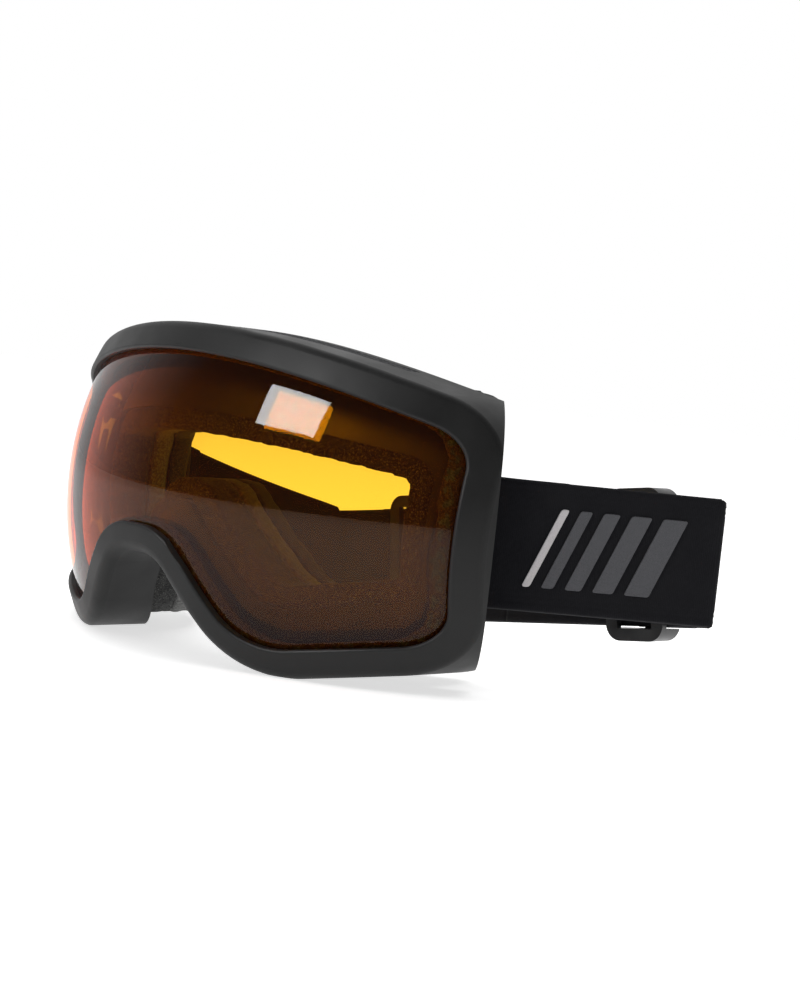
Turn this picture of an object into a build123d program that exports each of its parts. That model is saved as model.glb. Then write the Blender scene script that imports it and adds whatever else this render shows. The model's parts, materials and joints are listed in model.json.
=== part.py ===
from build123d import *
import os
from math import asin, atan2, cos, degrees, hypot, radians, sin

os.makedirs("parts", exist_ok=True)

# Ski goggles, in millimetres. The wearer looks along -Y, +X is the wearer's left, +Z is up.
# The origin is the front-most point of the outer lens, on the plane of symmetry.

# Lens curvature: the lens bulges forward, on one radius seen from above and one from the side.
LENS_PLAN_RADIUS = 104.0
LENS_SIDE_RADIUS = 98.0
OUTER_LENS_THICKNESS = 1.2
GASKET_THICKNESS = 3.5
INNER_LENS_THICKNESS = 0.8
FIT_GAP = 0.05

# Visible window of the lens, seen from the front.
BROW_HEIGHT = 43.5
BROW_ARC_RADIUS = 215.0
WINDOW_HALF_WIDTH = 83.0
SIDE_TOP_X = 82.2
SIDE_BOTTOM = (81.6, -27.8)
CHEEK_CORNER = (35.8, -36.3)
NOSE_CORNER = (12.0, -5.8)
WINDOW_TOP_RADIUS = 13.0
WINDOW_BOTTOM_RADIUS = 12.0
CHEEK_RADIUS = 20.0
NOSE_RADIUS = 20.0

# Frame: bezel, side wall and face flange, moulded in one piece.
BEZEL_WIDTH = 8.2
BEZEL_NARROWER_AT_SIDES = 2.2
BEZEL_PROUD = 2.4
BEZEL_DEPTH = 7.6
BEZEL_EDGE_RADIUS = 3.4
BEZEL_LIP_RADIUS = 0.8
LENS_EDGE_IN_GROOVE = 3.0
LENS_NARROWER_AT_SIDES = 2.0
INNER_EDGE_IN_GROOVE = 2.0
INNER_NARROWER_AT_SIDES = 4.0
GASKET_SHOWS = 1.3
WALL_THICKNESS = 2.4
INSIDE_HALF_WIDTH = 76.5
FLANGE_THICKNESS = 2.0
SIDE_TAPER_AT = (89.0, 49.5)
REST_HEIGHT = -42.2

# Opening in the face flange, seen from the front.
FLANGE_TOP = 27.0
FLANGE_TOP_ARC_RADIUS = 366.0
FLANGE_SIDE = 70.5
FLANGE_SIDE_BOTTOM = -17.6
FLANGE_CHEEK = (30.5, -26.6)
FLANGE_NOSE = (3.2, 1.0)
FLANGE_CORNER_RADIUS = 8.0
FLANGE_CHEEK_RADIUS = 14.0
FLANGE_NOSE_RADIUS = 4.0

# Face foam: three layers between four curved faces (apex depth, plan radius, side radius).
FLANGE_FACE = (17.0, 106.0, 80.0)
BASE_FOAM_FACE = (29.0, 97.0, 83.0)
MIDDLE_FOAM_FACE = (35.0, 92.5, 84.5)
SKIN_FACE = (41.0, 88.0, 86.0)
FOAM_BEYOND_WINDOW = 4.5
FOAM_HALF_WIDTH = 69.0
FOAM_DEEPEST = 78.0
FOAM_CORNER_RADIUS = 12.0
FOAM_INSIDE_FLANGE = 6.5

# Vents in the brow wall and in both cheek walls, each row under a strip of filter foam.
VENT_PITCH = 6.0
VENT_SLOT_WIDTH = 4.0
BROW_VENT_COUNT = 19
CHEEK_VENT_COUNT = 5
CHEEK_VENT_CENTRE = 56.0
VENT_FRONT_INSET = 8.2
VENT_REAR_MARGIN = 3.4
VENT_FOAM_THICKNESS = 1.2
BROW_VENT_FOAM_HALF_WIDTH = 58.0
CHEEK_VENT_FOAM_LENGTH = 32.0
BROW_VENTS_AT = 48.0
BROW_VENT_REACH = 36.0
BROW_FOAM_REACH = 56.0
CHEEK_VENTS_AT = -42.0
CHEEK_VENT_REACH = 20.0
CHEEK_FOAM_REACH = 44.0

# Strap ears on the frame and the webbing, seen from above.
EAR_BAR = (76.0, 57.0)
EAR_ROOT = (77.0, 52.0)
EAR_BAR_RADIUS = 2.0
EAR_RADIUS = 4.2
EAR_INNER_HEIGHT = 19.0
EAR_OUTER_HEIGHT = 22.4
STRAP_ROOM_FROM = (71.0, 52.4)
STRAP_ROOM_SLANTS_AT = 78.6
RUNNING_GAP = 0.08
WEB_WIDTH = 36.0
WEB_THICKNESS = 2.0
LEFT_FOLD = (122.0, 110.0)
FAR_FOLD_DROP = 22.0
RIGHT_LEG_BULGE = 8.0
LEFT_FOLD_CLEARANCE = 3.4
RIGHT_FOLD_CLEARANCE = 1.8
LOOP_CLOSES_AT = 10.0
LOOP_END_AT = 24.0

# Sliders on the rear web, measured along the web from the left fold.
SLIDER_LEFT_AT = 29.0
SLIDER_RIGHT_AT = 116.0
SLIDER_LENGTH = 20.0
SLIDER_HEIGHT = 44.0
SLIDER_BAR_WIDTH = 4.0
SLIDER_BAR_THICKNESS = 2.0
SLIDER_MIDDLE_BAR_RADIUS = 1.2
SLIDER_RAIL_GAP = 0.4
SLIDER_BAR_IN_RAIL = 1.0
SLIDER_CORNER_RADIUS = 5.0
TAIL_THICKNESS = 1.6
TAIL_LENGTH = 17.0
TAIL_RETURN_LENGTH = 13.0
TAIL_CLOSES_AT = 4.0
TAIL_GAP = 0.15
TAIL_TACKS_FROM_END = 3.0

# Bar tacks: short rows of thread that hold the webbing loops closed.
TACK_ROWS = 3
TACK_ROW_PITCH = 1.6
TACK_THREAD_WIDTH = 0.8
TACK_THREAD_HEIGHT = 0.4
TACK_HEIGHT = 30.0

# What follows from the sizes above.
LOOP_RADIUS = EAR_BAR_RADIUS + RUNNING_GAP + WEB_THICKNESS / 2
RIGHT_FOLD = (LEFT_FOLD[0] - 2 * EAR_BAR[0], LEFT_FOLD[1])
REAR_WEB_LENGTH = hypot(LEFT_FOLD[0] - RIGHT_FOLD[0], FAR_FOLD_DROP)
REAR_WEB_TILT = degrees(atan2(FAR_FOLD_DROP, LEFT_FOLD[0] - RIGHT_FOLD[0]))
TAIL_LOOP_RADIUS = SLIDER_MIDDLE_BAR_RADIUS + RUNNING_GAP + TAIL_THICKNESS
MIDDLE_BAR_DEPTH = WEB_THICKNESS / 2 + TAIL_GAP + TAIL_LOOP_RADIUS

# Sizes of the tool solids, which only have to reach past the goggles.
DOME_HALF_HEIGHT = 70.0
FRONT_REACH = 20.0
BACK_REACH = 90.0
SIDE_CUT_REACH = 60.0
STRAP_ROOM_REACH = 20.0
FAR = 300.0


# ---------------------------------------------------------------- curved faces
def dome(apex, plan_radius, side_radius):
    """Everything behind a face that bulges forward, with its front-most point at Y = apex."""
    axis_depth = apex + plan_radius
    bulge = side_radius - (side_radius**2 - DOME_HALF_HEIGHT**2) ** 0.5
    edge_depth = axis_depth + plan_radius - bulge
    # The profile lies at the back, so that the turned face has no seam in front.
    arc = ThreePointArc(
        (0, edge_depth, -DOME_HALF_HEIGHT),
        (0, edge_depth + bulge, 0),
        (0, edge_depth, DOME_HALF_HEIGHT),
    )
    inside = Polyline(
        (0, edge_depth, DOME_HALF_HEIGHT),
        (0, axis_depth, DOME_HALF_HEIGHT),
        (0, axis_depth, -DOME_HALF_HEIGHT),
        (0, edge_depth, -DOME_HALF_HEIGHT),
    )
    profile = make_face([arc] + list(inside.edges()))
    return revolve(profile, Axis((0, axis_depth, 0), (0, 0, 1)), 360)


def lens_dome(inset):
    """Everything behind a face that lies `inset` behind the front of the outer lens."""
    return dome(inset, LENS_PLAN_RADIUS - inset, LENS_SIDE_RADIUS - inset)


def prism(outline):
    """An outline seen from the front, as a straight prism that reaches past the whole frame."""
    front = Plane.XZ.offset(FRONT_REACH) * outline
    return extrude(front, amount=-FRONT_REACH - BACK_REACH)


def upright(plan, height):
    """A shape seen from above, as a prism centred on Z = 0."""
    return extrude(plan, amount=height / 2, both=True)


def below_rest():
    """Everything lower than the two flat pads that the goggles stand on."""
    return Pos(0, 0, REST_HEIGHT - FAR / 2) * Box(FAR, FAR, FAR)


# ------------------------------------------------------------------- outlines
def round_corners(outline, corners, radius):
    """Round the corners of an outline that lie at the given places, on both sides."""
    wanted = []
    for vertex in outline.vertices():
        for x, z in corners:
            if abs(abs(vertex.X) - x) < 0.01 and abs(vertex.Y - z) < 0.01:
                wanted.append(vertex)
    return fillet(wanted, radius)


def symmetric_outline(right_edges):
    left_edges = [edge.mirror(Plane.YZ) for edge in right_edges]
    return Sketch() + make_face(right_edges + left_edges)


def arc_drop(radius, x):
    """How far an arc with its top at X = 0 has fallen at X = x."""
    return radius - (radius**2 - x**2) ** 0.5


def top_arc(height, radius, x_end):
    """The right half of an arc that is highest on the plane of symmetry."""
    middle = (x_end / 2, height - arc_drop(radius, x_end / 2))
    return ThreePointArc((0, height), middle, (x_end, height - arc_drop(radius, x_end)))


def window_outline(narrower=0.0):
    """The visible part of the lens, or the same shape with its sides moved inwards."""
    side_top_x = SIDE_TOP_X - narrower
    side_bottom = (SIDE_BOTTOM[0] - narrower, SIDE_BOTTOM[1])
    brow = top_arc(BROW_HEIGHT, BROW_ARC_RADIUS, side_top_x)
    brow_end = (side_top_x, BROW_HEIGHT - arc_drop(BROW_ARC_RADIUS, side_top_x))
    right = [
        brow,
        ThreePointArc(brow_end, (WINDOW_HALF_WIDTH - narrower, 0), side_bottom),
        Line(side_bottom, CHEEK_CORNER),
        Line(CHEEK_CORNER, NOSE_CORNER),
        Line(NOSE_CORNER, (0, NOSE_CORNER[1])),
    ]
    outline = symmetric_outline(right)
    outline = round_corners(outline, [brow_end], WINDOW_TOP_RADIUS)
    outline = round_corners(outline, [side_bottom], WINDOW_BOTTOM_RADIUS)
    outline = round_corners(outline, [CHEEK_CORNER], CHEEK_RADIUS)
    return round_corners(outline, [NOSE_CORNER], NOSE_RADIUS)


def flange_outline():
    """The opening in the face flange, where the eyes look through."""
    top_end = (FLANGE_SIDE, FLANGE_TOP - arc_drop(FLANGE_TOP_ARC_RADIUS, FLANGE_SIDE))
    side_end = (FLANGE_SIDE, FLANGE_SIDE_BOTTOM)
    right = [
        top_arc(FLANGE_TOP, FLANGE_TOP_ARC_RADIUS, FLANGE_SIDE),
        Line(top_end, side_end),
        Line(side_end, FLANGE_CHEEK),
        Line(FLANGE_CHEEK, FLANGE_NOSE),
        Line(FLANGE_NOSE, (0, FLANGE_NOSE[1])),
    ]
    outline = symmetric_outline(right)
    outline = round_corners(outline, [top_end, side_end], FLANGE_CORNER_RADIUS)
    outline = round_corners(outline, [FLANGE_CHEEK], FLANGE_CHEEK_RADIUS)
    return round_corners(outline, [FLANGE_NOSE], FLANGE_NOSE_RADIUS)


WINDOW = window_outline()
LENS_WINDOW = window_outline(LENS_NARROWER_AT_SIDES)
INNER_WINDOW = window_outline(INNER_NARROWER_AT_SIDES)
BEZEL_OUTLINE = offset(window_outline(BEZEL_NARROWER_AT_SIDES), BEZEL_WIDTH)
FLANGE_OPENING = flange_outline()
EYE_OPENING = offset(FLANGE_OPENING, -FOAM_INSIDE_FLANGE)


# ---------------------------------------------------------------------- lenses
def lens_outer():
    shell = lens_dome(0) - lens_dome(OUTER_LENS_THICKNESS)
    return shell & prism(offset(LENS_WINDOW, LENS_EDGE_IN_GROOVE))


def lens_gasket():
    """Foam ring that holds the two lenses apart."""
    front = OUTER_LENS_THICKNESS
    shell = lens_dome(front) - lens_dome(front + GASKET_THICKNESS)
    ring = prism(offset(INNER_WINDOW, INNER_EDGE_IN_GROOVE))
    ring -= prism(offset(INNER_WINDOW, -GASKET_SHOWS))
    return shell & ring


def lens_inner():
    front = OUTER_LENS_THICKNESS + GASKET_THICKNESS
    shell = lens_dome(front) - lens_dome(front + INNER_LENS_THICKNESS)
    return shell & prism(offset(INNER_WINDOW, INNER_EDGE_IN_GROOVE))


def lens_groove():
    """The room that the frame leaves for the two lenses and the gasket."""
    gasket_front = OUTER_LENS_THICKNESS
    back = gasket_front + GASKET_THICKNESS + INNER_LENS_THICKNESS
    lens_room = lens_dome(-FIT_GAP) - lens_dome(gasket_front + FIT_GAP)
    lens_room &= prism(offset(LENS_WINDOW, LENS_EDGE_IN_GROOVE + FIT_GAP))
    inner_room = lens_dome(gasket_front) - lens_dome(back + FIT_GAP)
    inner_room &= prism(offset(INNER_WINDOW, INNER_EDGE_IN_GROOVE + FIT_GAP))
    return lens_room + inner_room


# ----------------------------------------------------------------------- vents
def vent_zone():
    """The depth of the wall that vents may take, between bezel and flange."""
    apex, plan, side = FLANGE_FACE
    return lens_dome(VENT_FRONT_INSET) - dome(apex - VENT_REAR_MARGIN, plan, side)


def vent_slots():
    """Upright slots through the brow wall and through both cheek walls."""
    slots = Part()
    for index in range(BROW_VENT_COUNT):
        x = (index - (BROW_VENT_COUNT - 1) / 2) * VENT_PITCH
        slots += Pos(x, 0, BROW_VENTS_AT) * Box(VENT_SLOT_WIDTH, FAR, BROW_VENT_REACH)
    for side_sign in (-1, 1):
        for index in range(CHEEK_VENT_COUNT):
            step = (index - (CHEEK_VENT_COUNT - 1) / 2) * VENT_PITCH
            x = side_sign * (CHEEK_VENT_CENTRE + step)
            slots += Pos(x, 0, CHEEK_VENTS_AT) * Box(VENT_SLOT_WIDTH, FAR, CHEEK_VENT_REACH)
    return slots & vent_zone()


def vent_skin():
    """The outer layer of the wall, where the filter foam lies flush."""
    skin = prism(BEZEL_OUTLINE) - prism(offset(BEZEL_OUTLINE, -VENT_FOAM_THICKNESS))
    return skin & vent_zone()


def vent_foam_brow():
    brow = Pos(0, 0, BROW_VENTS_AT) * Box(2 * BROW_VENT_FOAM_HALF_WIDTH, FAR, BROW_FOAM_REACH)
    return vent_skin() & brow


def vent_foam_cheek(side_sign):
    centre = Pos(side_sign * CHEEK_VENT_CENTRE, 0, CHEEK_VENTS_AT)
    cheek = centre * Box(CHEEK_VENT_FOAM_LENGTH, FAR, CHEEK_FOAM_REACH)
    return (vent_skin() & cheek) - below_rest()


# ----------------------------------------------------------------------- frame
def on_front_face(point):
    """Whether a point lies on the bezel's curved front."""
    plan = LENS_PLAN_RADIUS + BEZEL_PROUD
    side = LENS_SIDE_RADIUS + BEZEL_PROUD
    depth = LENS_PLAN_RADIUS - ((plan - arc_drop(side, point.Z)) ** 2 - point.X**2) ** 0.5
    return abs(depth - point.Y) < 0.05


def front_edges(body, outline):
    """The edges of the bezel's front face that follow an outline."""
    border = outline.wire()
    edges = []
    for edge in body.edges():
        middle = edge.position_at(0.5)
        if on_front_face(middle) and border.distance_to(Vertex(middle.X, middle.Z, 0)) < 0.1:
            edges.append(edge)
    return edges


def strap_ears():
    """Two lugs and an upright bar on each side, behind the bezel."""
    length = hypot(EAR_BAR[0] - EAR_ROOT[0], EAR_BAR[1] - EAR_ROOT[1])
    angle = degrees(atan2(EAR_BAR[1] - EAR_ROOT[1], EAR_BAR[0] - EAR_ROOT[0]))
    middle = ((EAR_BAR[0] + EAR_ROOT[0]) / 2, (EAR_BAR[1] + EAR_ROOT[1]) / 2)
    lug_shape = SlotCenterToCenter(length, 2 * EAR_RADIUS)
    ears = Pos(*EAR_BAR, 0) * Cylinder(EAR_BAR_RADIUS, 2 * EAR_OUTER_HEIGHT)
    for low in (EAR_INNER_HEIGHT, -EAR_OUTER_HEIGHT):
        lug = Pos(*middle, low) * Rot(0, 0, angle) * lug_shape
        ears += extrude(lug, amount=EAR_OUTER_HEIGHT - EAR_INNER_HEIGHT)
    return ears + mirror(ears, about=Plane.YZ)


def side_cut():
    """What is cut away so that each side slants inwards at 45 degrees behind the bezel."""
    x, y = SIDE_TAPER_AT
    corners = [
        (x, y),
        (x + SIDE_CUT_REACH, y),
        (x + SIDE_CUT_REACH, y + SIDE_CUT_REACH),
        (x - SIDE_CUT_REACH, y + SIDE_CUT_REACH),
    ]
    right = upright(make_face(Polyline(*corners, close=True)), FAR)
    return right + mirror(right, about=Plane.YZ)


def strap_room():
    """The room behind each side of the bezel where the webbing turns round its bar."""
    x, y = STRAP_ROOM_FROM
    corners = [
        (x, y),
        (STRAP_ROOM_SLANTS_AT, y),
        (STRAP_ROOM_SLANTS_AT + STRAP_ROOM_REACH, y + STRAP_ROOM_REACH),
        (x, y + STRAP_ROOM_REACH),
    ]
    room = upright(make_face(Polyline(*corners, close=True)), 2 * EAR_INNER_HEIGHT)
    return room + mirror(room, about=Plane.YZ)


def frame():
    apex, plan, side = FLANGE_FACE
    flange_front = dome(apex - FLANGE_THICKNESS, plan, side)
    body = (prism(BEZEL_OUTLINE) & lens_dome(-BEZEL_PROUD)) - dome(apex, plan, side)
    body -= prism(WINDOW) - flange_front
    body = fillet(front_edges(body, WINDOW), BEZEL_LIP_RADIUS)
    body = fillet(front_edges(body, BEZEL_OUTLINE), BEZEL_EDGE_RADIUS)
    body -= side_cut()
    inside = prism(offset(BEZEL_OUTLINE, -WALL_THICKNESS)) & Box(2 * INSIDE_HALF_WIDTH, FAR, FAR)
    body -= inside & (lens_dome(BEZEL_DEPTH) - flange_front)
    body -= prism(FLANGE_OPENING)
    body -= strap_room()
    body -= vent_slots()
    body -= vent_foam_brow()
    for side_sign in (-1, 1):
        body -= vent_foam_cheek(side_sign)
    body += strap_ears()
    body -= lens_groove()
    return body - below_rest()


# ------------------------------------------------------------------- face foam
def foam_layer(front_face, back_face):
    """One glued layer of the face foam."""
    plan_shape = Pos(0, FOAM_DEEPEST - FAR / 2) * Rectangle(2 * FOAM_HALF_WIDTH, FAR)
    plan_shape = fillet(plan_shape.vertices().group_by(Axis.Y)[-1], FOAM_CORNER_RADIUS)
    ring = prism(offset(WINDOW, FOAM_BEYOND_WINDOW)) - prism(EYE_OPENING)
    layer = ring & (dome(*front_face) - dome(*back_face))
    return layer & upright(plan_shape, FAR)


# --------------------------------------------------------------------- webbing
def direction(bearing):
    """A unit vector seen from above: 0 points straight back, positive turns outwards."""
    return Vector(sin(radians(bearing)), cos(radians(bearing)))


def outward(bearing):
    """The unit vector a quarter turn outwards from direction(bearing)."""
    return Vector(cos(radians(bearing)), -sin(radians(bearing)))


def ribbon(*edges, thickness=WEB_THICKNESS):
    """A web seen from above: the given path, thickened, with round ends."""
    return Sketch() + make_face(offset(Wire(edges), amount=thickness / 2, side=Side.BOTH))


def leg_geometry(fold, clearance, bulge):
    """The path of a leg from the left ear bar to a fold, and of the sewn loop end beside it."""
    bar = Vector(*EAR_BAR)
    reach = fold - bar
    bearing = degrees(atan2(reach.X, reach.Y)) - degrees(asin(LOOP_RADIUS / reach.length))
    bearing += degrees(atan2(4 * bulge, reach.length))
    start = bar + outward(bearing) * LOOP_RADIUS
    end = fold - (fold - start).normalized() * clearance
    middle = (start + end) * 0.5 + outward(bearing) * bulge
    path = ThreePointArc(start, middle, end) if bulge else Line(start, end)
    inwards = outward(bearing) * -(WEB_THICKNESS + RUNNING_GAP)
    closes = start + direction(bearing) * LOOP_CLOSES_AT + inwards
    loop_end = path.position_at(LOOP_END_AT / path.length) + inwards
    loop_start = bar - outward(bearing) * LOOP_RADIUS
    return path, Line(loop_start, closes), Line(closes, loop_end)


def leg_plan(fold, clearance, bulge):
    """A leg seen from above, with its front end looped round the bar."""
    path, closing, beside = leg_geometry(fold, clearance, bulge)
    loop_place = Pos(*EAR_BAR)
    plan = ribbon(path) + loop_place * Circle(LOOP_RADIUS + WEB_THICKNESS / 2)
    plan += ribbon(closing, beside)
    return plan - loop_place * Circle(LOOP_RADIUS - WEB_THICKNESS / 2)


def strap_left():
    return upright(leg_plan(Vector(*LEFT_FOLD), LEFT_FOLD_CLEARANCE, 0), WEB_WIDTH)


def right_leg_drop(depth):
    """How far the right leg has fallen at a depth: it is level at the ear, lowest at the fold."""
    level_until = EAR_BAR[1] + EAR_RADIUS
    if depth <= level_until:
        return 0.0
    return FAR_FOLD_DROP * (depth - level_until) / (RIGHT_FOLD[1] - level_until)


def strap_right():
    """The right leg mirrors the left one, but bulges outwards and falls towards its fold."""
    fold = Vector(-RIGHT_FOLD[0], RIGHT_FOLD[1])
    plan = leg_plan(fold, RIGHT_FOLD_CLEARANCE, RIGHT_LEG_BULGE)
    depths = (EAR_BAR[1] - EAR_RADIUS - 1, EAR_BAR[1] + EAR_RADIUS, RIGHT_FOLD[1])
    top = [(0, depth, WEB_WIDTH / 2 - right_leg_drop(depth)) for depth in depths]
    bottom = [(0, depth, -WEB_WIDTH / 2 - right_leg_drop(depth)) for depth in reversed(depths)]
    side = make_face(Polyline(*top, *bottom, close=True))
    return mirror(upright(plan, FAR) & extrude(side, amount=FAR / 2, both=True), about=Plane.YZ)


def on_rear_web(distance):
    """The place on the rear web's centre line at a distance from the left fold.

    Its local X runs along the web towards the left fold, its local Z across the web.
    """
    start = Pos(LEFT_FOLD[0], LEFT_FOLD[1], 0) * Rot(0, -REAR_WEB_TILT, 0)
    return start * Pos(-distance, 0, 0)


def strap_rear():
    """The web behind the head, from fold to fold, with its ends cut upright."""
    length = REAR_WEB_LENGTH
    band = on_rear_web(length / 2) * Box(length + WEB_WIDTH, WEB_THICKNESS, WEB_WIDTH)
    low = RIGHT_FOLD[0] + RIGHT_FOLD_CLEARANCE
    high = LEFT_FOLD[0] - LEFT_FOLD_CLEARANCE
    return band & (Pos((low + high) / 2, LEFT_FOLD[1], 0) * Box(high - low, 20, FAR))


# --------------------------------------------------------------------- sliders
def slider(distance):
    """Three-bar slider: two outer bars before the rear web, the middle bar behind it."""
    front = -(WEB_THICKNESS / 2 + SLIDER_RAIL_GAP + SLIDER_BAR_THICKNESS)
    back = MIDDLE_BAR_DEPTH + SLIDER_MIDDLE_BAR_RADIUS
    plate = Plane.XZ * RectangleRounded(SLIDER_LENGTH, SLIDER_HEIGHT, SLIDER_CORNER_RADIUS)
    block = Pos(0, back, 0) * extrude(plate, amount=back - front)
    slot_height = WEB_WIDTH + 2 * SLIDER_RAIL_GAP
    inner_length = SLIDER_LENGTH - 2 * SLIDER_BAR_WIDTH
    block -= Box(inner_length, FAR, slot_height)
    web_room_depth = back + WEB_THICKNESS / 2 + SLIDER_RAIL_GAP
    block -= Pos(0, back, 0) * Box(FAR, 2 * web_room_depth, slot_height)
    bar_height = slot_height + 2 * SLIDER_BAR_IN_RAIL
    block += Pos(0, MIDDLE_BAR_DEPTH, 0) * Cylinder(SLIDER_MIDDLE_BAR_RADIUS, bar_height)
    return on_rear_web(distance) * block


def tail(distance, towards_left):
    """Web end looped round a slider's middle bar and sewn back on itself."""
    sign = 1 if towards_left else -1
    radius = TAIL_LOOP_RADIUS - TAIL_THICKNESS / 2
    centre = Pos(0, MIDDLE_BAR_DEPTH)
    near = MIDDLE_BAR_DEPTH - radius
    returned = near + TAIL_THICKNESS + RUNNING_GAP
    far = MIDDLE_BAR_DEPTH + radius
    long_side = Line((0, near), (sign * TAIL_LENGTH, near))
    closes = (sign * TAIL_CLOSES_AT, returned)
    closing = Line((0, far), closes)
    short_side = Line(closes, (sign * TAIL_RETURN_LENGTH, returned))
    plan = ribbon(long_side, thickness=TAIL_THICKNESS)
    plan += ribbon(closing, short_side, thickness=TAIL_THICKNESS)
    plan += centre * Circle(TAIL_LOOP_RADIUS)
    plan -= centre * Circle(TAIL_LOOP_RADIUS - TAIL_THICKNESS)
    return on_rear_web(distance) * upright(plan, WEB_WIDTH)


# ------------------------------------------------------------------- bar tacks
def tack_rows(depth):
    """Rows of thread across a web, as thin ribs that stand on the face at local Y = depth."""
    rows = Part()
    for index in range(TACK_ROWS):
        x = (index - (TACK_ROWS - 1) / 2) * TACK_ROW_PITCH
        rib = Box(TACK_THREAD_WIDTH, TACK_THREAD_HEIGHT, TACK_HEIGHT)
        rows += Pos(x, depth + TACK_THREAD_HEIGHT / 2, 0) * rib
    return rows


def leg_tacks(fold, bulge, drop):
    """Tacks on the inner face of a leg's looped end, halfway along it."""
    path, closing, beside = leg_geometry(fold, 0, bulge)
    middle = beside.position_at(0.5)
    along = beside.tangent_at(0.5)
    turn = degrees(atan2(along.Y, along.X))
    face = Pos(middle.X, middle.Y, -drop(middle.Y)) * Rot(0, 0, turn)
    return face * tack_rows(WEB_THICKNESS / 2)


def leg_tacks_left():
    return leg_tacks(Vector(*LEFT_FOLD), 0, lambda depth: 0.0)


def leg_tacks_right():
    tacks = leg_tacks(Vector(-RIGHT_FOLD[0], RIGHT_FOLD[1]), RIGHT_LEG_BULGE, right_leg_drop)
    return mirror(tacks, about=Plane.YZ)


def tail_tacks(distance, towards_left):
    sign = 1 if towards_left else -1
    back = MIDDLE_BAR_DEPTH - TAIL_LOOP_RADIUS + 2 * TAIL_THICKNESS + RUNNING_GAP
    place = Pos(sign * (TAIL_RETURN_LENGTH - TAIL_TACKS_FROM_END), 0, 0)
    return on_rear_web(distance) * place * tack_rows(back)


def export_all():
    parts = {
        "frame": frame(),
        "lens_outer": lens_outer(),
        "lens_gasket": lens_gasket(),
        "lens_inner": lens_inner(),
        "vent_foam_brow": vent_foam_brow(),
        "vent_foam_cheek_left": vent_foam_cheek(1),
        "vent_foam_cheek_right": vent_foam_cheek(-1),
        "face_foam_base": foam_layer(FLANGE_FACE, BASE_FOAM_FACE),
        "face_foam_middle": foam_layer(BASE_FOAM_FACE, MIDDLE_FOAM_FACE),
        "face_foam_skin": foam_layer(MIDDLE_FOAM_FACE, SKIN_FACE),
        "strap_left": strap_left(),
        "strap_right": strap_right(),
        "strap_rear": strap_rear(),
        "strap_tail_left": tail(SLIDER_LEFT_AT, True),
        "strap_tail_right": tail(SLIDER_RIGHT_AT, False),
        "slider_left": slider(SLIDER_LEFT_AT),
        "slider_right": slider(SLIDER_RIGHT_AT),
        "tacks_leg_left": leg_tacks_left(),
        "tacks_leg_right": leg_tacks_right(),
        "tacks_tail_left": tail_tacks(SLIDER_LEFT_AT, True),
        "tacks_tail_right": tail_tacks(SLIDER_RIGHT_AT, False),
    }
    for node, shape in parts.items():
        export_step(shape, f"parts/{node}.step")


export_all()
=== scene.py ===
import json
import math

import bmesh
import bpy
from mathutils import Matrix, Vector, noise


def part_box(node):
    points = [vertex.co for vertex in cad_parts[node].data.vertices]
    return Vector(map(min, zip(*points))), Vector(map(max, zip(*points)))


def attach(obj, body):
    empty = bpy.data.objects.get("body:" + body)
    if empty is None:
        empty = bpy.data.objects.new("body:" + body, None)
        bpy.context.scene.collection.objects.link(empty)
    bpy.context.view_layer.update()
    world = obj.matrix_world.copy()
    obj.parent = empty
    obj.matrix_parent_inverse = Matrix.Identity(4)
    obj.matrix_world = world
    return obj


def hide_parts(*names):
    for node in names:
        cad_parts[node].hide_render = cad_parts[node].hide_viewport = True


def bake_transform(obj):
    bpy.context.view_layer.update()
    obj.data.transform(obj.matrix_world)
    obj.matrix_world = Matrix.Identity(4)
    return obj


# Ski goggles in metres, in the CAD frame: they face -Y, +X is the wearer's left, +Z is up.
MM = 0.001

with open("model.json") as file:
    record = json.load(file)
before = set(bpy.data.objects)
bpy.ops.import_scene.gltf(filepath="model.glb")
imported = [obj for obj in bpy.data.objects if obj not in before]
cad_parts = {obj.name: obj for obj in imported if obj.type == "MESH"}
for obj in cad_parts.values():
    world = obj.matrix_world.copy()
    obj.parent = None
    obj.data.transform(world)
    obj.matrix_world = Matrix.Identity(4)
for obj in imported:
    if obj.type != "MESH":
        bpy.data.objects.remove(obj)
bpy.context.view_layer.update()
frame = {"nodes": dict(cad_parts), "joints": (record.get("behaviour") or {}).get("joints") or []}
nodes = frame["nodes"]
joints = {joint["name"]: joint for joint in frame["joints"]}

# Webbing.
WEB_THICKNESS = 2.0 * MM
WEB_WIDTH = 36.0 * MM
WEB_STEP = 1.2 * MM
WEB_RIBS = 5
WEB_RIB_PITCH = 0.9 * MM
WEB_RIB_HEIGHT = 0.16 * MM
WEB_SECTION_STEPS = 60
BAR_RADIUS = 2.0 * MM
BAR_TURN_STEPS = 14
RUNNING_GAP = 0.08 * MM
LOOP_RADIUS = BAR_RADIUS + RUNNING_GAP + WEB_THICKNESS / 2
LOOP_CLOSES_AT = 10.0 * MM
LOOP_END_AT = 24.0 * MM
RIGHT_LEG_BULGE = 8.0 * MM
LEVEL_BEHIND_BAR = 4.2 * MM
FOLD_STRAIGHT_UNTIL = 8.0 * MM
FOLD_HANDLE = 7.0 * MM
FOLD_STEPS = 18

# Thin rubber wall in front of each ear's strap room, in millimetres, on the wearer's left.
EAR_WALL_LOW = Vector((69.6, 50.9, -25.0))
EAR_WALL_HIGH = Vector((79.5, 52.2, 25.0))
EAR_WALL_EDGE = 0.4
EAR_WALL_EDGE_STEPS = 2

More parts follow.
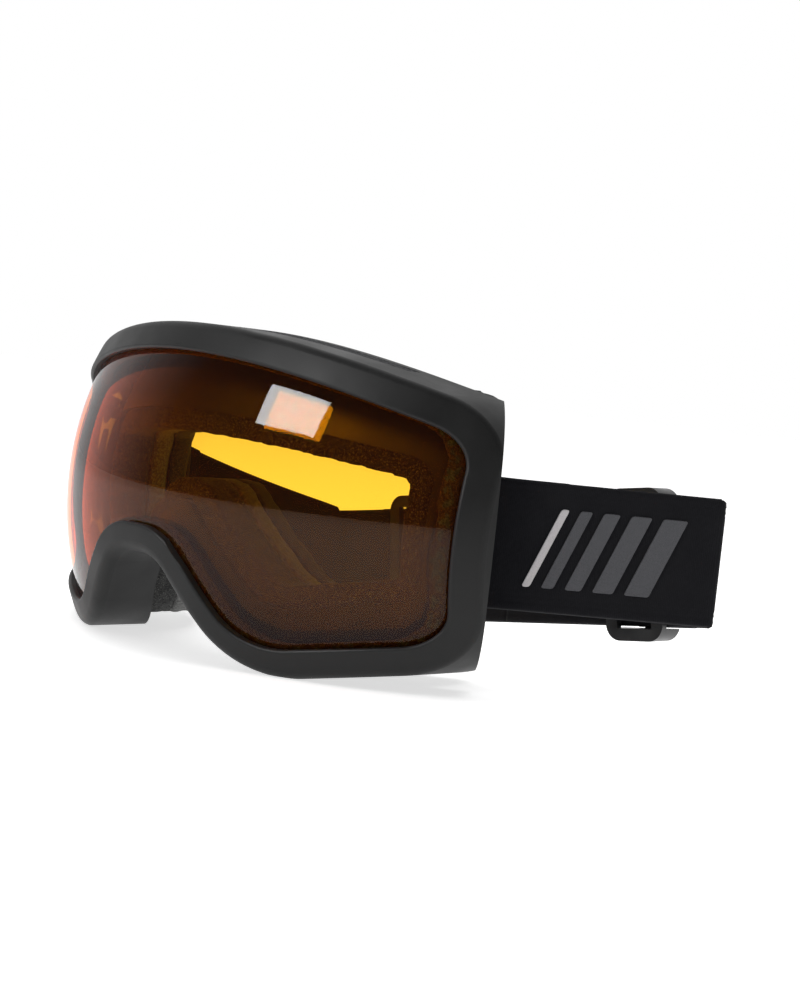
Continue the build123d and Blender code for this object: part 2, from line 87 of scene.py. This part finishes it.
# Woven motif on the left leg.
MOTIF_FROM = 13.0 * MM
MOTIF_BARS = (2.2 * MM, 3.4 * MM, 4.6 * MM, 5.8 * MM, 7.0 * MM)
MOTIF_PALE_BARS = 1
MOTIF_GAP = 3.2 * MM
MOTIF_HEIGHT = 22.0 * MM
MOTIF_SLANT = 9.0 * MM
MOTIF_CORNER = 0.8 * MM
MOTIF_SUNK = 0.3 * MM
MOTIF_PROUD = 0.45 * MM
MOTIF_SHOULDER = 0.15 * MM
CORNER_STEPS = 5

# Soft pieces: points closer than SOFT_WELD are one point before the surface is made even.
SOFT_WELD = 0.002 * MM
SOFT_ROUNDING = 0.5
SOFT_ROUNDING_PASSES = 2

# The lens mirrors less than solid plastic would, and only on its outside.
LENS_IOR = 1.3

# Noise textures stay mostly between these values.
NOISE_LOW = 0.3
NOISE_HIGH = 0.7

# Stage. The camera looks from the wearer's front left, a little from above, held slightly rolled.
CAMERA_AZIMUTH = math.radians(43.55)
CAMERA_ELEVATION = math.radians(3.78)
CAMERA_ROLL = math.radians(6.01)
CAMERA_PLACE = Vector((0.40964, -0.32575, 0.04236))
CAMERA_LENS = 66.9
CAMERA_SENSOR = 36.0
FLOOR_BELOW_FRAME = 0.05 * MM
FLOOR_REACH = 6.0
FLOOR_GLOW = 0.66
ROOM_LIGHT_IN_FRONT = 0.12
ROOM_FULLY_LIT_AT = 0.6
GOGGLES_MIDDLE = (0, 0.03, 0)
SQUARE = ((-1, -1), (1, -1), (1, 1), (-1, 1))


# ------------------------------------------------------------------ materials
def new_material(name):
    material = bpy.data.materials.new(name)
    material.use_nodes = True
    tree = material.node_tree
    return material, tree.nodes, tree.links, tree.nodes["Principled BSDF"]


def position(shader, links, scale=(1, 1, 1), turn=(0, 0, 0)):
    """Object coordinates in millimetres, stretched and turned."""
    place = shader.new("ShaderNodeTexCoord")
    mapping = shader.new("ShaderNodeMapping")
    mapping.inputs["Scale"].default_value = [1000 * part for part in scale]
    mapping.inputs["Rotation"].default_value = turn
    links.new(place.outputs["Object"], mapping.inputs["Vector"])
    return mapping.outputs["Vector"]


def grain(shader, links, vector, scale, detail=2.0):
    """Cloudy noise."""
    texture = shader.new("ShaderNodeTexNoise")
    texture.inputs["Scale"].default_value = scale
    texture.inputs["Detail"].default_value = detail
    links.new(vector, texture.inputs["Vector"])
    return texture.outputs["Fac"]


def cells(shader, links, vector, scale):
    """Distance from the middle of the nearest cell."""
    texture = shader.new("ShaderNodeTexVoronoi")
    texture.inputs["Scale"].default_value = scale
    links.new(vector, texture.inputs["Vector"])
    return texture.outputs["Distance"]


def ramp(shader, links, value, low, high, start=0.0, end=1.0):
    """A colour between low and high as value goes from start to end."""
    node = shader.new("ShaderNodeValToRGB")
    node.color_ramp.elements[0].position = start
    node.color_ramp.elements[0].color = (*low, 1)
    node.color_ramp.elements[1].position = end
    node.color_ramp.elements[1].color = (*high, 1)
    links.new(value, node.inputs["Fac"])
    return node.outputs["Color"]


def spread(shader, links, value, low, high, start=0.0, end=1.0):
    """A number between low and high as value goes from start to end."""
    node = shader.new("ShaderNodeMapRange")
    node.inputs["From Min"].default_value = start
    node.inputs["From Max"].default_value = end
    node.inputs["To Min"].default_value = low
    node.inputs["To Max"].default_value = high
    links.new(value, node.inputs["Value"])
    return node.outputs["Result"]


def math_node(shader, links, operation, first, second):
    node = shader.new("ShaderNodeMath")
    node.operation = operation
    for slot, value in zip(node.inputs, (first, second)):
        if isinstance(value, float):
            slot.default_value = value
        else:
            links.new(value, slot)
    return node.outputs["Value"]


def bump(shader, links, height, distance, strength=1.0):
    """Bump of the given height in metres."""
    node = shader.new("ShaderNodeBump")
    node.inputs["Strength"].default_value = strength
    node.inputs["Distance"].default_value = distance
    links.new(height, node.inputs["Height"])
    return node.outputs["Normal"]


def rubber_material():
    """Matt soft-touch moulding: fine grain, faint sheen, slightly polished patches."""
    material, shader, links, surface = new_material("frame_rubber")
    place = position(shader, links)
    fine = grain(shader, links, place, scale=6.0, detail=3.0)
    broad = grain(shader, links, place, scale=0.06, detail=4.0)
    dark, light = (0.0055, 0.0055, 0.0055), (0.009, 0.009, 0.009)
    colour = ramp(shader, links, broad, dark, light, NOISE_LOW, NOISE_HIGH)
    links.new(colour, surface.inputs["Base Color"])
    roughness = spread(shader, links, broad, 0.44, 0.6, NOISE_LOW, NOISE_HIGH)
    links.new(roughness, surface.inputs["Roughness"])
    surface.inputs["Specular IOR Level"].default_value = 0.3
    surface.inputs["Sheen Weight"].default_value = 0.015
    surface.inputs["Sheen Roughness"].default_value = 0.5
    links.new(bump(shader, links, fine, 0.03 * MM, strength=0.6), surface.inputs["Normal"])
    return material


def plastic_material():
    """Hard black moulding of the sliders, a little glossier than the frame."""
    material, shader, links, surface = new_material("slider_plastic")
    place = position(shader, links)
    fine = grain(shader, links, place, scale=3.0, detail=4.0)
    broad = grain(shader, links, place, scale=0.15, detail=3.0)
    dark, light = (0.009, 0.009, 0.010), (0.018, 0.018, 0.019)
    colour = ramp(shader, links, broad, dark, light, NOISE_LOW, NOISE_HIGH)
    links.new(colour, surface.inputs["Base Color"])
    roughness = spread(shader, links, broad, 0.3, 0.45, NOISE_LOW, NOISE_HIGH)
    links.new(roughness, surface.inputs["Roughness"])
    links.new(bump(shader, links, fine, 0.03 * MM, strength=0.5), surface.inputs["Normal"])
    return material


def lens_material(name, face_on, grazing, haze, haze_amount):
    """Thin tinted lens: clear seen face on, deeper coloured at a slant, mirror-like at its rim."""
    material, shader, links, surface = new_material(name)
    output = shader["Material Output"]
    shader.remove(surface)
    place = position(shader, links)
    facing = shader.new("ShaderNodeLayerWeight")
    facing.inputs["Blend"].default_value = 0.35
    tint = ramp(shader, links, facing.outputs["Facing"], face_on, grazing, 0.15, 0.85)
    see_through = shader.new("ShaderNodeBsdfTransparent")
    links.new(tint, see_through.inputs["Color"])
    mist = shader.new("ShaderNodeBsdfDiffuse")
    mist.inputs["Color"].default_value = (*haze, 1)
    hazy = shader.new("ShaderNodeMixShader")
    smudge = grain(shader, links, place, scale=0.05, detail=3.0)
    least, most = 0.7 * haze_amount, 1.3 * haze_amount
    amount = spread(shader, links, smudge, least, most, NOISE_LOW, NOISE_HIGH)
    links.new(amount, hazy.inputs["Fac"])
    links.new(see_through.outputs["BSDF"], hazy.inputs[1])
    links.new(mist.outputs["BSDF"], hazy.inputs[2])
    gloss = shader.new("ShaderNodeBsdfGlossy")
    roughness = spread(shader, links, smudge, 0.01, 0.04, NOISE_LOW, NOISE_HIGH)
    links.new(roughness, gloss.inputs["Roughness"])
    fresnel = shader.new("ShaderNodeFresnel")
    fresnel.inputs["IOR"].default_value = LENS_IOR
    side = shader.new("ShaderNodeNewGeometry")
    outside = math_node(shader, links, "SUBTRACT", 1.0, side.outputs["Backfacing"])
    mirror_share = math_node(shader, links, "MULTIPLY", fresnel.outputs["Fac"], outside)
    whole = shader.new("ShaderNodeMixShader")
    links.new(mirror_share, whole.inputs["Fac"])
    links.new(hazy.outputs["Shader"], whole.inputs[1])
    links.new(gloss.outputs["BSDF"], whole.inputs[2])
    links.new(whole.outputs["Shader"], output.inputs["Surface"])
    return material


def foam_material(name, dark, light, cell_scale, pit_depth, speckle=None):
    """Open-cell foam: small pits, colour that varies from cell to cell, a soft fuzzy sheen."""
    material, shader, links, surface = new_material(name)
    place = position(shader, links)
    pits = cells(shader, links, place, cell_scale)
    broad = grain(shader, links, place, scale=0.25, detail=4.0)
    speckles = grain(shader, links, place, scale=1.6, detail=2.0)
    colour = ramp(shader, links, speckles, dark, light, 0.42, 0.62)
    if speckle:
        mix = shader.new("ShaderNodeMix")
        mix.data_type = "RGBA"
        dots = grain(shader, links, place, scale=2.6, detail=1.0)
        links.new(spread(shader, links, dots, 0.0, 1.0, 0.62, 0.68), mix.inputs[0])
        links.new(colour, mix.inputs[6])
        mix.inputs[7].default_value = (*speckle, 1)
        colour = mix.outputs[2]
    links.new(colour, surface.inputs["Base Color"])
    links.new(spread(shader, links, broad, 0.85, 1.0), surface.inputs["Roughness"])
    surface.inputs["Sheen Weight"].default_value = 0.06
    surface.inputs["Sheen Roughness"].default_value = 0.6
    surface.inputs["Specular IOR Level"].default_value = 0.15
    height = math_node(shader, links, "ADD", pits, broad)
    links.new(bump(shader, links, height, pit_depth, 0.9), surface.inputs["Normal"])
    return material


def webbing_material(name, dark, light, yarn=1.0, fuzz=0.03):
    """Woven elastic: a fine plain weave, its colour darker in the dips of the weave as painted shade, with
    random fibre tone.
    """
    material, shader, links, surface = new_material(name)
    place = position(shader, links)
    weave = []
    for turn in ((0, 0, 0), (0, math.pi / 2, 0)):
        wave = shader.new("ShaderNodeTexWave")
        wave.bands_direction = "Z"
        wave.inputs["Scale"].default_value = 1.0 / yarn
        wave.inputs["Distortion"].default_value = 0.6
        wave.inputs["Detail"].default_value = 1.0
        links.new(position(shader, links, turn=turn), wave.inputs["Vector"])
        weave.append(wave.outputs["Fac"])
    height = math_node(shader, links, "MULTIPLY", weave[0], weave[1])
    fibres = grain(shader, links, place, scale=5.0, detail=3.0)
    broad = grain(shader, links, place, scale=0.12, detail=4.0)
    # Painted shade: the colour follows the weave relief that also drives the bump and is darker where the
    # yarns dip; the fibre noise adds random tone.
    painted_weave_shade = math_node(shader, links, "MULTIPLY", height, 0.6)
    shade = math_node(shader, links, "ADD", painted_weave_shade, fibres)
    links.new(ramp(shader, links, shade, dark, light, 0.35, 1.1), surface.inputs["Base Color"])
    links.new(spread(shader, links, broad, 0.78, 0.95), surface.inputs["Roughness"])
    surface.inputs["Sheen Weight"].default_value = fuzz
    surface.inputs["Sheen Roughness"].default_value = 0.4
    surface.inputs["Specular IOR Level"].default_value = 0.2
    fibre_relief = math_node(shader, links, "MULTIPLY", fibres, 0.5)
    relief = math_node(shader, links, "ADD", height, fibre_relief)
    links.new(bump(shader, links, relief, 0.12 * MM, strength=0.8), surface.inputs["Normal"])
    return material


def thread_material():
    """Twisted sewing thread of the bar tacks, with painted shade darkening the grooves of the twist."""
    material, shader, links, surface = new_material("thread")
    wave = shader.new("ShaderNodeTexWave")
    wave.bands_direction = "DIAGONAL"
    wave.inputs["Scale"].default_value = 1.2
    links.new(position(shader, links), wave.inputs["Vector"])
    # Painted shade: the colour follows the same twist waves as the bump and is darker in the grooves.
    colour = ramp(shader, links, wave.outputs["Fac"], (0.012, 0.012, 0.016), (0.05, 0.05, 0.06))
    links.new(colour, surface.inputs["Base Color"])
    surface.inputs["Roughness"].default_value = 0.6
    links.new(bump(shader, links, wave.outputs["Fac"], 0.1 * MM), surface.inputs["Normal"])
    return material


def add(name, data):
    """A new object in the scene."""
    piece = bpy.data.objects.new(name, data)
    bpy.context.scene.collection.objects.link(piece)
    return piece


def dress(obj, material):
    obj.data.materials.clear()
    obj.data.materials.append(material)


# ----------------------------------------------------------------- soft copies
def soft_copy(node, name, voxel, fuzz, fuzz_size):
    """A soft piece that takes the place of a CAD node: rounded edges and an uneven surface."""
    source = nodes[node]
    piece = add(name, source.data.copy())
    mesh_work = bmesh.new()
    mesh_work.from_mesh(piece.data)
    bmesh.ops.remove_doubles(mesh_work, verts=mesh_work.verts, dist=SOFT_WELD)
    mesh_work.to_mesh(piece.data)
    mesh_work.free()
    remesh = piece.modifiers.new("even_mesh", "REMESH")
    remesh.mode = "VOXEL"
    remesh.voxel_size = voxel
    relax = piece.modifiers.new("rounded", "SMOOTH")
    relax.factor = SOFT_ROUNDING
    relax.iterations = SOFT_ROUNDING_PASSES
    graph = bpy.context.evaluated_depsgraph_get()
    finished = bpy.data.meshes.new_from_object(piece.evaluated_get(graph))
    piece.modifiers.clear()
    piece.data = finished
    moved = []
    for place, normal in [(v.co.copy(), v.normal.copy()) for v in finished.vertices]:
        moved.extend(place + normal * (fuzz * noise.noise(place / fuzz_size)))
    finished.vertices.foreach_set("co", moved)
    finished.update()
    smooth(piece)
    return piece


def smooth(piece):
    for polygon in piece.data.polygons:
        polygon.use_smooth = True


# --------------------------------------------------------------------- webbing
def flat(vector):
    """The vector seen from above."""
    return Vector((vector[0], vector[1]))


def sample_line(start, end):
    """Evenly spaced points from start up to, but without, end."""
    count = max(2, round((end - start).length / WEB_STEP))
    return [start.lerp(end, index / count) for index in range(count)]


def leg_bearing(bar, fold):
    """The direction of a straight leg that leaves the outside of its bar towards the fold."""
    reach = fold - bar
    return math.atan2(reach.x, reach.y) - math.asin(LOOP_RADIUS / reach.length)


def leg_path(bar, fold, bulge):
    """The centre line of a leg seen from above, from its sewn end round the bar towards the fold."""
    radius = LOOP_RADIUS
    bearing = leg_bearing(bar, fold)
    bearing += math.atan2(4 * bulge, (fold - bar).length)
    along = Vector((math.sin(bearing), math.cos(bearing)))
    out = Vector((math.cos(bearing), -math.sin(bearing)))
    start = bar + out * radius
    end = fold - (fold - start).normalized() * FOLD_STRAIGHT_UNTIL
    count = round((end - start).length / WEB_STEP)
    outer = []
    for index in range(count + 1):
        share = index / count
        outer.append(start.lerp(end, share) + out * 4 * bulge * share * (1 - share))
    inwards = out * -(WEB_THICKNESS + RUNNING_GAP)
    closes = start + along * LOOP_CLOSES_AT + inwards
    share = LOOP_END_AT / (end - start).length
    sewn_end = start.lerp(end, share) + out * 4 * bulge * share * (1 - share) + inwards
    points = sample_line(sewn_end, closes) + sample_line(closes, bar - out * radius)
    for index in range(BAR_TURN_STEPS):
        angle = math.pi * index / BAR_TURN_STEPS
        points.append(bar - out * radius * math.cos(angle) - along * radius * math.sin(angle))
    return points + outer, (outer[-1] - outer[-2]).normalized()


def fold_path(start, leaving, end, arriving):
    """A soft turn between two straight runs."""
    points = []
    first = start + leaving * FOLD_HANDLE
    second = end - arriving * FOLD_HANDLE
    for index in range(1, FOLD_STEPS):
        t = index / FOLD_STEPS
        point = start * (1 - t) ** 3 + first * 3 * t * (1 - t) ** 2
        point += second * 3 * t * t * (1 - t) + end * t**3
        points.append(point)
    return points


def web_section():
    """Half-section of the webbing: (height, half thickness) from the lower to the upper edge."""
    points = []
    half = WEB_WIDTH / 2
    for index in range(WEB_SECTION_STEPS + 1):
        height = -half + 2 * half * index / WEB_SECTION_STEPS
        from_edge = half - abs(height)
        relief = 0.0
        if from_edge < WEB_RIBS * WEB_RIB_PITCH:
            relief = WEB_RIB_HEIGHT * (0.5 - 0.5 * math.cos(2 * math.pi * from_edge / WEB_RIB_PITCH))
        edge = min(1.0, from_edge / (WEB_THICKNESS / 2))
        thickness = WEB_THICKNESS / 2 * math.sqrt(1 - (1 - edge) ** 2)
        points.append((height, thickness - relief * edge))
    return points


def webbing(name, path, level):
    """A web that stands upright along a path seen from above; level gives its height at a point."""
    section = web_section()
    ring_size = 2 * (len(section) - 1)
    vertices = []
    for index, point in enumerate(path):
        before = path[max(index - 1, 0)]
        after = path[min(index + 1, len(path) - 1)]
        along = (after - before).normalized()
        side = Vector((along.y, -along.x))
        centre = level(point)
        for height, half in section[:-1]:
            place = point + side * half
            vertices.append((place.x, place.y, centre + height))
        for height, half in reversed(section[1:]):
            place = point - side * half
            vertices.append((place.x, place.y, centre + height))
    faces = []
    for ring in range(len(path) - 1):
        for index in range(ring_size):
            a = ring * ring_size + index
            b = ring * ring_size + (index + 1) % ring_size
            faces.append((a, b, b + ring_size, a + ring_size))
    faces.append(tuple(reversed(range(ring_size))))
    last = (len(path) - 1) * ring_size
    faces.append(tuple(range(last, last + ring_size)))
    mesh = bpy.data.meshes.new(name)
    mesh.from_pydata(vertices, [], faces)
    piece = add(name, mesh)
    mesh_work = bmesh.new()
    mesh_work.from_mesh(mesh)
    bmesh.ops.recalc_face_normals(mesh_work, faces=mesh_work.faces)
    mesh_work.to_mesh(mesh)
    mesh_work.free()
    smooth(piece)
    return piece


def relaxed(path, passes=3):
    """The same path with its kinks eased."""
    for _ in range(passes):
        eased = [path[0]]
        for before, point, after in zip(path, path[1:], path[2:]):
            eased.append(point * 0.5 + (before + after) * 0.25)
        path = eased + [path[-1]]
    return path


left_bar = Vector(joints["strap_swing"]["pos_m"])
left_fold = Vector(joints["left_fold"]["pos_m"])
right_fold = Vector(joints["right_fold"]["pos_m"])
right_bar = Vector((-left_bar.x, left_bar.y, left_bar.z))
SEAM_X = (left_fold.x + right_fold.x) / 2
FALL = left_fold.z - right_fold.z


def rear_level(point):
    """Height of the rear web's centre line: it falls evenly from the left fold to the right one."""
    share = (left_fold.x - point.x) / (left_fold.x - right_fold.x)
    return left_fold.z - FALL * min(max(share, 0.0), 1.0)


def right_level(point):
    """Height of the right webbing: level at its bar, then falling towards the right fold."""
    if point.x > right_fold.x:
        return rear_level(point)
    level_until = right_bar.y + LEVEL_BEHIND_BAR
    share = (point.y - level_until) / (right_fold.y - level_until)
    return right_bar.z - FALL * min(max(share, 0.0), 1.0)


def left_webbing():
    """Left leg, left fold and the left half of the rear web, in one length."""
    points, leaving = leg_path(flat(left_bar), flat(left_fold), 0.0)
    rear_start = flat(left_fold) - Vector((FOLD_STRAIGHT_UNTIL, 0))
    rear_end = Vector((SEAM_X, left_fold.y))
    points += fold_path(points[-1], leaving, rear_start, Vector((-1, 0)))
    points += sample_line(rear_start, rear_end) + [rear_end]

    def level(point):
        return rear_level(point) if point.y > left_fold.y - WEB_THICKNESS else left_bar.z

    return webbing("webbing_left", relaxed(points), level)


def right_webbing():
    """Right leg, right fold and the right half of the rear web."""
    bar = Vector((-right_bar.x, right_bar.y))
    fold = Vector((-right_fold.x, right_fold.y))
    points, leaving = leg_path(bar, fold, RIGHT_LEG_BULGE)
    rear_start = Vector((fold.x - FOLD_STRAIGHT_UNTIL, fold.y))
    rear_end = Vector((-SEAM_X, fold.y))
    points += fold_path(points[-1], leaving, rear_start, Vector((-1, 0)))
    points += sample_line(rear_start, rear_end) + [rear_end]
    points = [Vector((-point.x, point.y)) for point in relaxed(points)]
    return webbing("webbing_right", points, right_level)


def rounded(outline, radius):
    """The outline with each corner replaced by a short curve."""
    points = []
    count = len(outline)
    for index, corner in enumerate(outline):
        before = (outline[index - 1] - corner).normalized() * radius
        after = (outline[(index + 1) % count] - corner).normalized() * radius
        for step in range(CORNER_STEPS + 1):
            t = step / CORNER_STEPS
            points.append(corner + before * (1 - t) ** 2 + after * t**2)
    return points


def patch(name, outline, thickness, corner_radius):
    """A raised woven patch: an outline in the plane of the leg, with a soft shoulder."""
    border = rounded([Vector(corner) for corner in outline], corner_radius)
    centre = sum(border, Vector((0, 0))) / len(border)
    rings = (
        (border, 0.0),
        (border, thickness - MOTIF_SHOULDER),
        ([p + (centre - p).normalized() * MOTIF_SHOULDER for p in border], thickness),
    )
    vertices = [(p.x, p.y, height) for ring, height in rings for p in ring]
    count = len(border)
    faces = [tuple(reversed(range(count))), tuple(range(2 * count, 3 * count))]
    for ring in range(len(rings) - 1):
        for index in range(count):
            a = ring * count + index
            b = ring * count + (index + 1) % count
            faces.append((a, b, b + count, a + count))
    mesh = bpy.data.meshes.new(name)
    mesh.from_pydata(vertices, [], faces)
    piece = add(name, mesh)
    return piece


def on_left_leg(distance):
    """The place on the left leg's outer face at a distance behind its ear bar."""
    bar = flat(left_bar)
    fold = flat(left_fold)
    bearing = leg_bearing(bar, fold)
    along = Vector((math.sin(bearing), math.cos(bearing), 0))
    out = Vector((math.cos(bearing), -math.sin(bearing), 0))
    place = left_bar + out * (LOOP_RADIUS + WEB_THICKNESS / 2 - MOTIF_SUNK) + along * distance
    turn = Matrix((along, Vector((0, 0, 1)), out)).transposed()
    return Matrix.Translation(place) @ turn.to_4x4()


def motif():
    """A generic woven pattern: slanted bars of growing width, the first one pale."""
    at = MOTIF_FROM
    for index, width in enumerate(MOTIF_BARS):
        low, high = -MOTIF_HEIGHT / 2, MOTIF_HEIGHT / 2
        slant = MOTIF_SLANT
        outline = [(0, low), (width, low), (width + slant, high), (slant, high)]
        piece = patch(f"motif_bar_{index + 1}", outline, MOTIF_SUNK + MOTIF_PROUD, MOTIF_CORNER)
        piece.matrix_world = on_left_leg(at)
        dress(piece, motif_pale if index < MOTIF_PALE_BARS else motif_grey)
        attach(piece, "left_leg")
        at += width + MOTIF_GAP


def ear_wall(name, side):
    """Closes the gap in front of the strap room; side is +1 for the wearer's left."""
    work = bmesh.new()
    bmesh.ops.create_cube(work, size=1.0)
    middle = (EAR_WALL_LOW + EAR_WALL_HIGH) / 2
    size = EAR_WALL_HIGH - EAR_WALL_LOW
    for corner in work.verts:
        for axis in range(3):
            corner.co[axis] = middle[axis] + size[axis] * corner.co[axis]
    bmesh.ops.bevel(
        work,
        geom=work.edges[:],
        offset=EAR_WALL_EDGE,
        segments=EAR_WALL_EDGE_STEPS,
        affect="EDGES",
    )
    for corner in work.verts:
        corner.co = Vector((side * corner.co.x, corner.co.y, corner.co.z)) * MM
    bmesh.ops.recalc_face_normals(work, faces=work.faces)
    mesh = bpy.data.meshes.new(name)
    work.to_mesh(mesh)
    work.free()
    piece = add(name, mesh)
    dress(piece, rubber)
    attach(piece, "goggles")


# ----------------------------------------------------------------------- build
rubber = rubber_material()
plastic = plastic_material()
lens_outer_material = lens_material(
    "lens_orange",
    face_on=(1.0, 0.76, 0.2),
    grazing=(1.0, 0.42, 0.16),
    haze=(0.5, 0.03, 0.02),
    haze_amount=0.008,
)
lens_inner_material = lens_material(
    "lens_inner_clear",
    face_on=(0.97, 0.97, 0.95),
    grazing=(0.9, 0.88, 0.85),
    haze=(0.5, 0.5, 0.5),
    haze_amount=0.006,
)
gasket_foam = foam_material(
    "gasket_foam",
    dark=(0.02, 0.02, 0.02),
    light=(0.05, 0.05, 0.05),
    cell_scale=2.4,
    pit_depth=0.2 * MM,
)
vent_foam = foam_material(
    "vent_foam",
    dark=(0.02, 0.02, 0.022),
    light=(0.06, 0.06, 0.065),
    cell_scale=1.8,
    pit_depth=0.3 * MM,
)
foam_dark = foam_material(
    "foam_dark",
    dark=(0.012, 0.012, 0.012),
    light=(0.035, 0.035, 0.034),
    cell_scale=2.0,
    pit_depth=0.15 * MM,
    speckle=(0.14, 0.14, 0.13),
)
foam_grey = foam_material(
    "foam_grey",
    dark=(0.09, 0.09, 0.088),
    light=(0.17, 0.17, 0.165),
    cell_scale=2.2,
    pit_depth=0.25 * MM,
)
foam_skin = foam_material(
    "foam_skin",
    dark=(0.015, 0.015, 0.015),
    light=(0.04, 0.04, 0.04),
    cell_scale=3.0,
    pit_depth=0.15 * MM,
)
web_black = webbing_material("webbing", dark=(0.0014, 0.0014, 0.0024), light=(0.006, 0.006, 0.009))
motif_grey = webbing_material(
    "motif_grey",
    dark=(0.045, 0.046, 0.052),
    light=(0.13, 0.13, 0.14),
    yarn=0.7,
    fuzz=0.1,
)
motif_pale = webbing_material(
    "motif_pale",
    dark=(0.42, 0.40, 0.41),
    light=(0.75, 0.72, 0.73),
    yarn=0.7,
    fuzz=0.2,
)
thread = thread_material()

dress(nodes["frame"], rubber)
dress(nodes["lens_outer"], lens_outer_material)
dress(nodes["lens_inner"], lens_inner_material)
for node in ("slider_left", "slider_right"):
    dress(nodes[node], plastic)
for node in ("tacks_leg_left", "tacks_leg_right", "tacks_tail_left", "tacks_tail_right"):
    dress(nodes[node], thread)
for node in ("strap_tail_left", "strap_tail_right"):
    dress(nodes[node], web_black)

GASKET_SURFACE = {"voxel": 0.7 * MM, "fuzz": 0.06 * MM, "fuzz_size": 1.5 * MM}
VENT_SURFACE = {"voxel": 0.4 * MM, "fuzz": 0.08 * MM, "fuzz_size": 1.2 * MM}
FACE_SURFACE = {"voxel": 1.1 * MM, "fuzz": 0.35 * MM, "fuzz_size": 3.0 * MM}
SOFT_PIECES = (
    ("lens_gasket", "gasket", GASKET_SURFACE, gasket_foam, "gasket_foam"),
    ("vent_foam_brow", "vent_strip_brow", VENT_SURFACE, vent_foam, "vent_foam"),
    ("vent_foam_cheek_left", "vent_strip_left", VENT_SURFACE, vent_foam, "vent_foam"),
    ("vent_foam_cheek_right", "vent_strip_right", VENT_SURFACE, vent_foam, "vent_foam"),
    ("face_foam_base", "foam_base", FACE_SURFACE, foam_dark, "foam_dark"),
    ("face_foam_middle", "foam_middle", FACE_SURFACE, foam_grey, "foam_grey"),
    ("face_foam_skin", "foam_face", FACE_SURFACE, foam_skin, "foam_skin"),
)
for node, name, surface, material, slot in SOFT_PIECES:
    piece = soft_copy(node, name, **surface)
    dress(piece, material)
    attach(piece, "goggles")
    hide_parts(node)

ear_wall("ear_wall_left", 1)
ear_wall("ear_wall_right", -1)

left_web = left_webbing()
dress(left_web, web_black)
right_web = right_webbing()
dress(right_web, web_black)
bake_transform(left_web)
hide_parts("strap_left", "strap_rear")
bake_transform(right_web)
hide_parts("strap_right")

motif()


# ------------------------------------------------------------ stage and camera
def flat_material(name, colour, roughness):
    """An even colour without texture, for the stage."""
    material, shader, links, surface = new_material(name)
    surface.inputs["Base Color"].default_value = (*colour, 1)
    surface.inputs["Roughness"].default_value = roughness
    return material


def floor():
    """A pale floor, lit a little from below like a light table."""
    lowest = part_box("frame")[0]
    level = lowest.z - FLOOR_BELOW_FRAME
    corners = [(x * FLOOR_REACH, y * FLOOR_REACH, level) for x, y in SQUARE]
    mesh = bpy.data.meshes.new("floor")
    mesh.from_pydata(corners, [], [(0, 1, 2, 3)])
    piece = add("floor", mesh)
    paper = flat_material("floor_paper", (0.9, 0.9, 0.9), 0.9)
    surface = paper.node_tree.nodes["Principled BSDF"]
    surface.inputs["Specular IOR Level"].default_value = 0.0
    surface.inputs["Emission Color"].default_value = (1, 1, 1, 1)
    surface.inputs["Emission Strength"].default_value = FLOOR_GLOW
    dress(piece, paper)


def studio_world():
    """A room that is white behind the goggles and dim on the camera's side."""
    world = bpy.data.worlds.new("studio")
    world.use_nodes = True
    shader = world.node_tree.nodes
    links = world.node_tree.links
    background = shader["Background"]
    background.inputs["Color"].default_value = (1, 1, 1, 1)
    rays = shader.new("ShaderNodeLightPath")
    place = shader.new("ShaderNodeTexCoord")
    towards = shader.new("ShaderNodeVectorMath")
    towards.operation = "DOT_PRODUCT"
    links.new(place.outputs["Generated"], towards.inputs[0])
    towards.inputs[1].default_value = (-math.sin(CAMERA_AZIMUTH), math.cos(CAMERA_AZIMUTH), 0)
    lit = spread(shader, links, towards.outputs["Value"], ROOM_LIGHT_IN_FRONT, 1.0, 0.0, ROOM_FULLY_LIT_AT)
    strength = math_node(shader, links, "MAXIMUM", lit, rays.outputs["Is Camera Ray"])
    links.new(strength, background.inputs["Strength"])
    bpy.context.scene.world = world


def softbox(name, place, target, width, height, power, mirrored=False):
    """A lamp aimed at target; a mirrored one is only seen as a reflection, the others never are."""
    data = bpy.data.lights.new(name, "AREA")
    data.shape = "RECTANGLE"
    data.size = width
    data.size_y = height
    data.energy = power
    lamp = add(name, data)
    lamp.location = place
    aim = (Vector(target) - Vector(place)).to_track_quat("-Z", "Y")
    lamp.rotation_euler = aim.to_euler()
    lamp.visible_glossy = mirrored
    lamp.visible_diffuse = not mirrored


floor()
studio_world()
bpy.context.scene.view_settings.view_transform = "Standard"
softbox(
    "top_box",
    place=(0.1, 0.1, 1.3),
    target=GOGGLES_MIDDLE,
    width=1.4,
    height=1.4,
    power=11,
)
softbox(
    "left_box",
    place=(-0.9, -0.9, 0.6),
    target=GOGGLES_MIDDLE,
    width=0.9,
    height=0.9,
    power=3,
)
softbox(
    "panel",
    place=(0.047, -0.496, 0.346),
    target=(0.043, 0.015, 0.03),
    width=0.24,
    height=0.15,
    power=3.5,
    mirrored=True,
)

right = Vector((math.cos(CAMERA_AZIMUTH), math.sin(CAMERA_AZIMUTH), 0))
back = Vector((
    math.sin(CAMERA_AZIMUTH) * math.cos(CAMERA_ELEVATION),
    -math.cos(CAMERA_AZIMUTH) * math.cos(CAMERA_ELEVATION),
    math.sin(CAMERA_ELEVATION),
))
up = back.cross(right)
image_right = right * math.cos(CAMERA_ROLL) + up * math.sin(CAMERA_ROLL)
image_up = up * math.cos(CAMERA_ROLL) - right * math.sin(CAMERA_ROLL)
camera_data = bpy.data.cameras.new("camera")
camera_data.lens = CAMERA_LENS
camera_data.sensor_width = CAMERA_SENSOR
camera = add("camera", camera_data)
turn = Matrix((image_right, image_up, back)).transposed()
camera.matrix_world = Matrix.Translation(CAMERA_PLACE) @ turn.to_4x4()
bpy.context.scene.camera = camera
